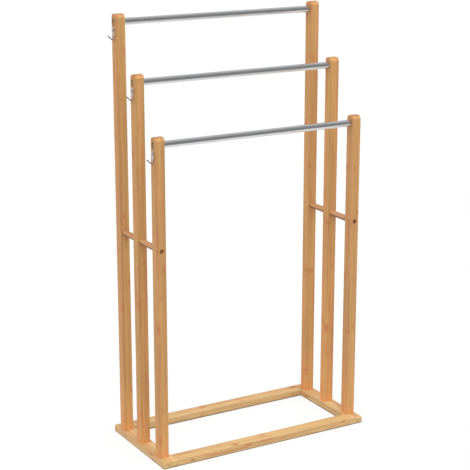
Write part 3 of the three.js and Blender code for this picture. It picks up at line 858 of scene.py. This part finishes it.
class TOWELRACK_OT_posts(bpy.types.Operator):
    """Make the six posts with their rounded heads, recesses and bores"""

    bl_idname = "towel_rack.posts"
    bl_label = "Posts"

    def execute(self, context):
        sizes = context.scene.rack_sizes
        strips = (sizes.post_strip, sizes.post_layer)
        finish = bamboo("lacquered_posts", "post", AXES["z"], *strips)
        posts = [(row, side, sign) for row in ROWS for side, sign in SIDES]
        for number, (row, side, sign) in enumerate(posts, FIRST_STICK["post"]):
            node = f"post_{row}_{side}"
            low, high, _ = box_of(node)
            outline, inset = post_outline(low, high, sizes.head_radius)
            shape = carried(outline, inset, 0, low[0], high[0], sizes.post_edge)
            wooden(node, shape, post_cuts(row, side, sign, low, high, sizes),
                   finish, (low, (0, 1, 2), number, *strips), POST_TONES_AND_LIGHT[row, side])
        return {"FINISHED"}


# Base boards


def side_board_outline(low, high, opening, sign, corner, steps=5):
    """Plan of a side board as a ring of (x, y), and the way each point moves
    when the ring shrinks. The outer corners are arcs. The inner edge shrinks
    only beside the opening; past it the board meets the long boards."""
    outer, inner = (high[0], low[0]) if sign > 0 else (low[0], high[0])
    turns = np.linspace(0.0, np.pi / 2, steps + 1)
    cos, sin = np.cos(turns), np.sin(turns)
    middle_x = outer - sign * corner
    front = np.stack((middle_x + sign * corner * sin, low[1] + corner - corner * cos), 1)
    back = np.stack((middle_x + sign * corner * cos, high[1] - corner + corner * sin), 1)
    front_in = np.stack((-sign * sin, cos), 1)
    back_in = np.stack((-sign * cos, -sin), 1)
    inner_points = np.array([(inner, y) for y in (high[1], opening, opening,
                                                  -opening, -opening, low[1])])
    inner_in = np.array(((0.0, -1.0), (0.0, 1.0), (sign, 1.0),
                         (sign, -1.0), (0.0, -1.0), (0.0, 1.0)))
    return (np.concatenate((front, back, inner_points)),
            np.concatenate((front_in, back_in, inner_in)))


def long_board(low, high, edge, joint):
    """A long board as its end view, a rectangle with quarter circles at its
    corners, carried along X, with a hair of a bevel at either end."""
    middle = (low + high) / 2
    half = (high - low)[1:] / 2
    way_y, way_z, cos, sin = corner_arcs(6)
    ring = np.stack((way_y * (half[0] - edge) + edge * cos,
                     way_z * (half[1] - edge) + edge * sin), 1)
    places = np.array((low[0], low[0] + joint, high[0] - joint, high[0]))
    scale = 1 - np.array((1, 0, 0, 1))[:, None] * joint / half
    flat = middle[1:] + ring[None] * scale[:, None, :]
    return skin(np.insert(flat, 0, places[:, None], axis=2))


def pin_names(ends, sides):
    """Nodes of the pins at the named ends and sides of the base."""
    return [f"base_pin_{end}_{side}_{lane}"
            for end in ends for side in sides for lane in ("outer", "inner")]


def pin_cuts(ends, sides):
    """Bores round some of the pins, a little larger than the pins."""
    cuts = []
    for node in pin_names(ends, sides):
        low, high, middle = box_of(node)
        reach, _, radius = (high - low) / 2 + PIN_PLAY
        cuts.append(drilled(radius, -reach, reach, middle, AXES["x"]))
    return cuts


def foot_cuts(side, low, high, sizes):
    """Recesses and bores for the screws that come up through a side board."""
    radius, depth = sizes.foot_recess_width / 2, sizes.foot_recess_depth
    rows = rim(radius, sizes.rim_edge, low[2], 1.0)
    rows += [(radius, depth), (FOOT_PILOT, depth), (FOOT_PILOT, high[2] + REACH)]
    screws = [box_of(f"foot_screw_{row}_{side}")[2] for row in ROWS]
    return [skin(turned(rows, (screw[0], screw[1], 0.0), AXES["z"], 48)) for screw in screws]


class TOWELRACK_OT_base(bpy.types.Operator):
    """Make the four boards of the base frame, with their screw recesses"""

    bl_idname = "towel_rack.base"
    bl_label = "Base boards"

    def execute(self, context):
        sizes = context.scene.rack_sizes
        strips = (sizes.board_strip, sizes.board_layer)
        back_board_low, _, _ = box_of("base_rail_back")
        finish = bamboo("lacquered_side_boards", "board", AXES["y"], *strips)
        for number, (side, sign) in enumerate(SIDES, FIRST_STICK["side board"]):
            node = f"base_board_{side}"
            low, high, _ = box_of(node)
            outline, inset = side_board_outline(low, high, back_board_low[1], sign, BOARD_CORNER)
            shape = carried(outline, inset, 2, low[2], high[2], sizes.board_edge)
            cuts = pin_cuts(ENDS, (side,)) + foot_cuts(side, low, high, sizes)
            wooden(node, shape, cuts, finish, (low, (0, 2, 1), number, *strips))
        finish = bamboo("lacquered_long_boards", "board", AXES["x"], *strips)
        for number, end in enumerate(ENDS, FIRST_STICK["long board"]):
            node = f"base_rail_{end}"
            low, high, _ = box_of(node)
            shape = long_board(low, high, sizes.board_edge, sizes.joint_edge)
            cuts = pin_cuts((end,), ("left", "right"))
            wooden(node, shape, cuts, finish, (low, (1, 2, 0), number, *strips))
        return {"FINISHED"}


# Struts and rails


class TOWELRACK_OT_struts(bpy.types.Operator):
    """Make the two round struts, turned with softened ends and pilot bores"""

    bl_idname = "towel_rack.struts"
    bl_label = "Struts"

    def execute(self, context):
        sizes = context.scene.rack_sizes
        strips = (sizes.strut_strip, sizes.strut_strip)
        finish = bamboo("lacquered_struts", "strut", AXES["y"], *strips)
        for number, (side, _) in enumerate(SIDES, FIRST_STICK["strut"]):
            node = f"strut_{side}"
            low, high, middle = box_of(node)
            _, half, radius = (high - low) / 2
            shape = skin(turned(rod(radius, STRUT_END, half), middle, AXES["y"], 96))
            cuts = []
            for row, way, inner_corner in (("front", 1.0, 1), ("back", -1.0, 0)):
                tip = box_of(f"strut_screw_{row}_{side}")[inner_corner][1] - middle[1]
                cuts.append(drilled(STRUT_PILOT, -way * (half + REACH), tip + way * REACH,
                                    middle, AXES["y"]))
            start = (low[0], middle[1], low[2])
            wooden(node, shape, cuts, finish, (start, (0, 2, 1), number, *strips))
        return {"FINISHED"}


class TOWELRACK_OT_rails(bpy.types.Operator):
    """Make the three steel rails, drawn tubes with softened ends"""

    bl_idname = "towel_rack.rails"
    bl_label = "Rails"

    def execute(self, context):
        wall = context.scene.rack_sizes.rail_wall
        finish = metal("polished_rails", context.scene.rack_colours.steel, 0.17, 0.10,
                       (6.0, 1600.0, 1600.0))
        for row in ROWS:
            node = f"rail_{row}"
            low, high, middle = box_of(node)
            half, _, radius = (high - low) / 2
            rows = rod(radius, RAIL_END, half) + [(radius - wall, half), (radius - wall, -half)]
            rings = turned(rows, middle, AXES["x"], 96)
            dress(body(f"steel_{node}", [skin(rings, looped=True)]), node, finish)
        return {"FINISHED"}


# Screws and bolts


def cross_radius(sides, span, slot):
    """Distance to the edge of a cross at each angle: the smaller of span / cos
    t and slot / sin t, with t the angle from the nearest arm."""
    turns = ring_angles(sides)
    fold = np.abs((turns + np.pi / 4) % (np.pi / 2) - np.pi / 4)
    return np.minimum(span / np.cos(fold), slot / np.maximum(np.sin(fold), 1e-6))


def hexagon_radius(sides, across):
    """Distance to the edge of a hexagon at each angle: half its width across
    flats / cos t, with t the angle from the nearest flat's middle."""
    turns = ring_angles(sides)
    fold = (turns + np.pi / 6) % (np.pi / 3) - np.pi / 6
    return across / 2 / np.cos(fold)


def headed(node, direction, sizes, recess, recess_depth, domed):
    """A screw or bolt from its seat: a tapered shank below, a head above, and
    a recess in the head whose rim and floor have the given outline. A screw
    has a long point and a high crown, a bolt a small bevel and a low crown."""
    head, head_height, shank = sizes
    low, high, middle = box_of(node)
    way = np.array(direction, float)
    span = abs(float(np.dot(high - low, way)))
    seat = middle + way * (span / 2 - head_height)
    below = span - head_height
    if domed:
        point, tip = min(shank * 1.6, below / 4), shank * 0.12
        crown, flat = head_height * 0.75, head * 0.36
    else:
        point, tip = BOLT_BEVEL, shank / 2 - BOLT_BEVEL
        crown, flat = head_height * 0.35, head * 0.42
    rows = [(tip, -below), (shank / 2, point - below), (shank / 2, -HEAD_EDGE),
            (shank / 2 + HEAD_EDGE, 0.0), (head / 2 - HEAD_EDGE, 0.0), (head / 2, HEAD_EDGE)]
    shoulder = head_height - crown
    rows += [(flat + (head / 2 - flat) * np.cos(t), shoulder + crown * np.sin(t))
             for t in np.linspace(0.0, np.pi / 2, 9)]
    # the recess: its rim's small bevel, then its walls and its floor
    rows += [(recess * 1.06, head_height), (recess, head_height - RECESS_BEVEL)]
    rows += [(recess * share, head_height - recess_depth * down) for share, down in RECESS_ROWS]
    return body(f"steel_{node}", [skin(turned(rows, seat, way, HEAD_SIDES))])


class TOWELRACK_OT_bolts(bpy.types.Operator):
    """Make the six rail bolts, with low heads and hexagon sockets"""

    bl_idname = "towel_rack.bolts"
    bl_label = "Rail bolts"

    def execute(self, context):
        recess = hexagon_radius(HEAD_SIDES, BOLT_SOCKET)
        for row in ROWS:
            for side, sign in SIDES:
                node = f"rail_bolt_{row}_{side}"
                bolt = headed(node, (sign, 0.0, 0.0), RAIL_BOLT, recess, BOLT_SOCKET_DEPTH, False)
                dress(bolt, node, small_metal("bronze"))
        return {"FINISHED"}


class TOWELRACK_OT_screws(bpy.types.Operator):
    """Make the screws of the feet, the struts and the hooks"""

    bl_idname = "towel_rack.screws"
    bl_label = "Screws"

    def execute(self, context):
        for row in ROWS:
            for side, _ in SIDES:
                self.screw(f"foot_screw_{row}_{side}", (0.0, 0.0, -1.0), FOOT_SCREW, "zinc")
            self.screw(f"hook_screw_{row}", (-1.0, 0.0, 0.0), HOOK_SCREW, "bright")
        for side, _ in SIDES:
            for row, way in (("front", -1.0), ("back", 1.0)):
                self.screw(f"strut_screw_{row}_{side}", (0.0, way, 0.0), STRUT_SCREW, "lacquer")
        return {"FINISHED"}

    def screw(self, node, direction, sizes, finish):
        """One pan-headed screw with a driver's cross, in proportion to its head."""
        head, head_height, _ = sizes
        reach, half_width, depth = CROSS
        recess = cross_radius(HEAD_SIDES, head * reach, head * half_width)
        screw = headed(node, direction, sizes, recess, head_height * depth, True)
        dress(screw, node, small_metal(finish))


# Hooks


def rounded_path(corners, radius, steps=8):
    """Straight runs between the corners with an arc of one radius in each
    corner. An arc starts radius * tan(half the turn) before its corner."""
    corners = np.array(corners, float)
    points = [corners[:1]]
    for before, corner, after in zip(corners[:-2], corners[1:-1], corners[2:]):
        into = (corner - before) / np.linalg.norm(corner - before)
        out = (after - corner) / np.linalg.norm(after - corner)
        turn = np.arccos(np.clip(into @ out, -1.0, 1.0))
        side = out - (out @ into) * into
        side /= np.linalg.norm(side)
        angles = np.linspace(0.0, turn, steps + 1)[:, None]
        points.append(corner - radius * np.tan(turn / 2) * into
                      + radius * (np.sin(angles) * into + (1 - np.cos(angles)) * side))
    points.append(corners[-1:])
    return np.concatenate(points)


def resample(points, places, near=1e-5):
    """Points at given distances along a path, and the path's direction there."""
    steps = np.linalg.norm(np.diff(points, axis=0), axis=1)
    total = np.concatenate(((0.0,), np.cumsum(steps)))
    found, ahead, behind = (
        np.stack([np.interp(places + shift, total, points[:, k]) for k in range(2)], 1)
        for shift in (0.0, near, -near))
    way = ahead - behind
    return found, way / np.linalg.norm(way, axis=1)[:, None]


def hook_rings(low, high, screw_z, sizes):
    """A flat strip of metal carried down the post and out into a hook. Its half
    width is that of the plate, with round corners, then falls to the tongue's
    along half a cosine, and ends in half a circle. Its section is a rectangle
    with small quarter circles at its corners."""
    thick = sizes.hook_thickness / 2
    tongue = sizes.hook_tongue / 2
    wide = (high[1] - low[1]) / 2
    corner, edge = HOOK_CORNER, HOOK_EDGE
    plate_x = high[0] - thick
    top = high[2]
    bottom = low[2] + thick
    elbow_x = high[0] - HOOK_ELBOW
    tip_z = screw_z - HOOK_TIP
    slope = np.array((low[0] - elbow_x, tip_z - bottom))
    slope /= np.linalg.norm(slope)
    tip_x = low[0] + thick * slope[1]
    line = rounded_path([(plate_x, top), (plate_x, bottom), (elbow_x, bottom), (tip_x, tip_z)],
                        HOOK_BEND)

    # how far down the strip each ring lies
    total = float(np.linalg.norm(np.diff(line, axis=0), axis=1).sum())
    taper, taper_end = (top - screw_z + below for below in HOOK_TAPER)
    round_tip = total - tongue
    places = np.concatenate((np.linspace(0.0, corner, 12), np.linspace(corner, taper, 6)[1:],
                             np.linspace(taper, taper_end, 14)[1:],
                             np.linspace(taper_end, round_tip, 60)[1:],
                             round_tip + tongue * np.sin(np.linspace(0.0, np.pi / 2, 12))[1:]))
    places[-1] = total - 1e-6
    centre, way = resample(line, places)

    # half the width and half the thickness there
    near_top = np.clip(corner - places, 0.0, corner)
    half = wide - corner + np.sqrt(corner ** 2 - near_top ** 2)
    fall = np.clip((places - taper) / (taper_end - taper), 0.0, 1.0)
    half = tongue + (half - tongue) * (1 + np.cos(np.pi * fall)) / 2
    near_tip = np.clip(places - round_tip, 0.0, tongue * 0.9999)
    half = np.where(near_tip > 0, np.sqrt(tongue ** 2 - near_tip ** 2), half)
    from_end = np.clip(edge - np.minimum(places, total - places), 0.0, edge)
    deep = thick - edge + np.sqrt(edge ** 2 - from_end ** 2)

    way_y, way_n, cos, sin = corner_arcs(4)
    bend = np.minimum(edge, np.minimum(half, deep))[:, None]
    y = (half[:, None] - bend) * way_y + bend * cos
    n = (deep[:, None] - bend) * way_n + bend * sin
    return np.stack((centre[:, :1] + n * way[:, 1:], (low[1] + high[1]) / 2 + y,
                     centre[:, 1:] - n * way[:, :1]), 2)


class TOWELRACK_OT_hooks(bpy.types.Operator):
    """Make the three small hooks, bent from flat strip"""

    bl_idname = "towel_rack.hooks"
    bl_label = "Hooks"

    def execute(self, context):
        sizes = context.scene.rack_sizes
        _, plate, _ = box_of("hook_front")
        finish = nickel(plate[0] - sizes.hook_thickness)
        for row in ROWS:
            node = f"hook_{row}"
            low, high, _ = box_of(node)
            _, _, screw = box_of(f"hook_screw_{row}")
            hook = body(f"steel_{node}", [skin(hook_rings(low, high, screw[2], sizes))])
            cut(hook, [drilled(HOOK_PILOT, *HOOK_HOLE, (high[0], screw[1], screw[2]),
                               AXES["x"], 32)])
            dress(hook, node, finish, sharp=50.0)
        return {"FINISHED"}


# Joinery that nothing shows


class TOWELRACK_OT_joinery(bpy.types.Operator):
    """Give the hidden pins and threaded inserts their finishes"""

    bl_idname = "towel_rack.joinery"
    bl_label = "Pins and inserts"

    def execute(self, context):
        strip = context.scene.rack_sizes.post_strip
        pin_finish = bamboo("bare_pins", "strut", AXES["x"], strip, strip, False)
        finishes = {node: pin_finish for node in pin_names(ENDS, ("left", "right"))}
        for row in ROWS:
            for side, _ in SIDES:
                finishes[f"rail_insert_{row}_{side}"] = small_metal("zinc")
        for node, material in finishes.items():
            slots = bpy.data.objects[node].material_slots
            if len(slots) == 0:
                raise RuntimeError(f"{node} has no material slot")
            for slot in slots:
                slot.material = material
        return {"FINISHED"}


# Stage


def stage_world(sky):
    """A white studio. The camera sees plain white; soft light comes evenly from
    all round; and what shines sees white over the rack and behind it, falling
    off low down at the back, and the darker room in front of it."""
    world = bpy.data.worlds.new("studio")
    bpy.context.scene.world = world
    world.use_nodes = True
    nodes = Nodes(world.node_tree)
    seen = nodes.new("LightPath").outputs
    depth = nodes.parts(nodes.coordinates("Generated"))[1]
    room = nodes.times(nodes.ramp(depth, -1.3, 1.3, 0.18, 0.92),
                       nodes.ramp(depth, 0.55, 1.0, 1.0, 0.30))
    shine = nodes.times(seen["Is Glossy Ray"], room)
    plain = nodes.times(nodes.minus(1.0, seen["Is Glossy Ray"]), sky)
    behind = nodes.math("MAXIMUM", seen["Is Camera Ray"], seen["Is Transmission Ray"])
    strength = nodes.math("MAXIMUM", nodes.plus(shine, plain), behind)
    nodes.feed(nodes.tree.nodes["Background"], {"Strength": strength, "Color": WHITE})


def stage_floor(reach=12.0, drop=0.0002, grey=0.46, own_share=0.70, own_light=1.20):
    """A pale floor, mostly white of its own to the camera and to what shines,
    so that only a soft trace of the shadow stays."""
    corners = [(x * reach, y * reach, -drop) for x, y in ((-1, -1), (1, -1), (1, 1), (-1, 1))]
    mesh = bpy.data.meshes.new("floor")
    mesh.from_pydata(corners, [], [(0, 1, 2, 3)])
    floor = placed("floor", mesh)
    material = bpy.data.materials.new("floor")
    material.use_nodes = True
    nodes = Nodes(material.node_tree)
    nodes.tree.nodes.clear()
    seen = nodes.new("LightPath").outputs
    depth = nodes.parts(nodes.coordinates("Object"))[1]
    far = nodes.times(seen["Is Glossy Ray"], nodes.ramp(depth, -1.24, -1.00, 0.95, 0.0))
    own = nodes.math("MAXIMUM", seen["Is Glossy Ray"], seen["Is Transmission Ray"])
    own = nodes.math("MAXIMUM", seen["Is Camera Ray"], own)
    matt = nodes.new("BsdfDiffuse", {"Color": (grey, grey, grey, 1.0)})
    glow = nodes.new("Emission", {"Strength": nodes.minus(own_light, far)})
    mix = nodes.new("MixShader", (nodes.times(own, own_share), matt.outputs[0], glow.outputs[0]))
    nodes.new("OutputMaterial", {"Surface": mix.outputs[0]})
    mesh.materials.append(material)


def stage_light(name, towards, spread, strength):
    """An even soft light that comes from a direction, as wide as its spread."""
    lamp = bpy.data.lights.new(name, "SUN")
    lamp.angle = np.radians(spread)
    lamp.energy = strength
    holder = placed(name, lamp)
    holder.rotation_euler = (-Vector(towards)).to_track_quat("-Z", "Y").to_euler()
    holder.location = Vector(towards) * 3.0
    holder.visible_glossy = False


def stage_camera():
    """The photograph's view: a level horizon, from the front and the left."""
    lens = bpy.data.cameras.new("camera")
    lens.sensor_width = 36.0
    lens.lens = 109.306
    lens.clip_start = 0.05
    camera = placed("camera", lens)
    camera.location = (-1.63637, -2.8058, 1.3880)
    camera.rotation_euler = np.radians((74.525, 0.0, -30.159))
    bpy.context.scene.camera = camera


class TOWELRACK_OT_stage(bpy.types.Operator):
    """Set up the floor, the light and the camera"""

    bl_idname = "towel_rack.stage"
    bl_label = "Stage"

    def execute(self, context):
        light = context.scene.rack_light
        context.scene.view_settings.view_transform = "Standard"
        stage_world(light.sky)
        stage_floor()
        stage_light("key", (-0.10, -0.50, 0.86), 60.0, light.key)
        stage_light("fill", (-0.86, -0.25, 0.45), 50.0, light.fill)
        stage_camera()
        return {"FINISHED"}


class TOWELRACK_PT_sidebar(bpy.types.Panel):
    """Lists the rack's steps, sizes, colours and light"""

    bl_idname = "TOWELRACK_PT_sidebar"
    bl_label = "Bamboo Towel Rack"
    bl_space_type = "VIEW_3D"
    bl_region_type = "UI"
    bl_category = "Towel Rack"

    def draw(self, context):
        scene = context.scene
        for maker in MAKERS:
            self.layout.operator(maker.bl_idname)
        for group in (scene.rack_sizes, scene.rack_colours, scene.rack_light):
            box = self.layout.box()
            for name in group.__annotations__:
                box.prop(group, name)


MAKERS = (
    TOWELRACK_OT_posts,
    TOWELRACK_OT_base,
    TOWELRACK_OT_struts,
    TOWELRACK_OT_rails,
    TOWELRACK_OT_bolts,
    TOWELRACK_OT_screws,
    TOWELRACK_OT_hooks,
    TOWELRACK_OT_joinery,
    TOWELRACK_OT_stage,
)
CLASSES = (RackSizes, RackColours, RackLight) + MAKERS + (TOWELRACK_PT_sidebar,)


def register():
    """Registers the classes and hangs the settings on the scene."""
    for each in CLASSES:
        bpy.utils.register_class(each)
    bpy.types.Scene.rack_sizes = PointerProperty(type=RackSizes)
    bpy.types.Scene.rack_colours = PointerProperty(type=RackColours)
    bpy.types.Scene.rack_light = PointerProperty(type=RackLight)


def unregister():
    """Takes the settings and the classes away again."""
    del bpy.types.Scene.rack_light
    del bpy.types.Scene.rack_colours
    del bpy.types.Scene.rack_sizes
    for each in reversed(CLASSES):
        bpy.utils.unregister_class(each)


def main():
    register()
    for maker in MAKERS:
        group, name = maker.bl_idname.split(".")
        getattr(getattr(bpy.ops, group), name)()


if __name__ == "__main__":
    main()
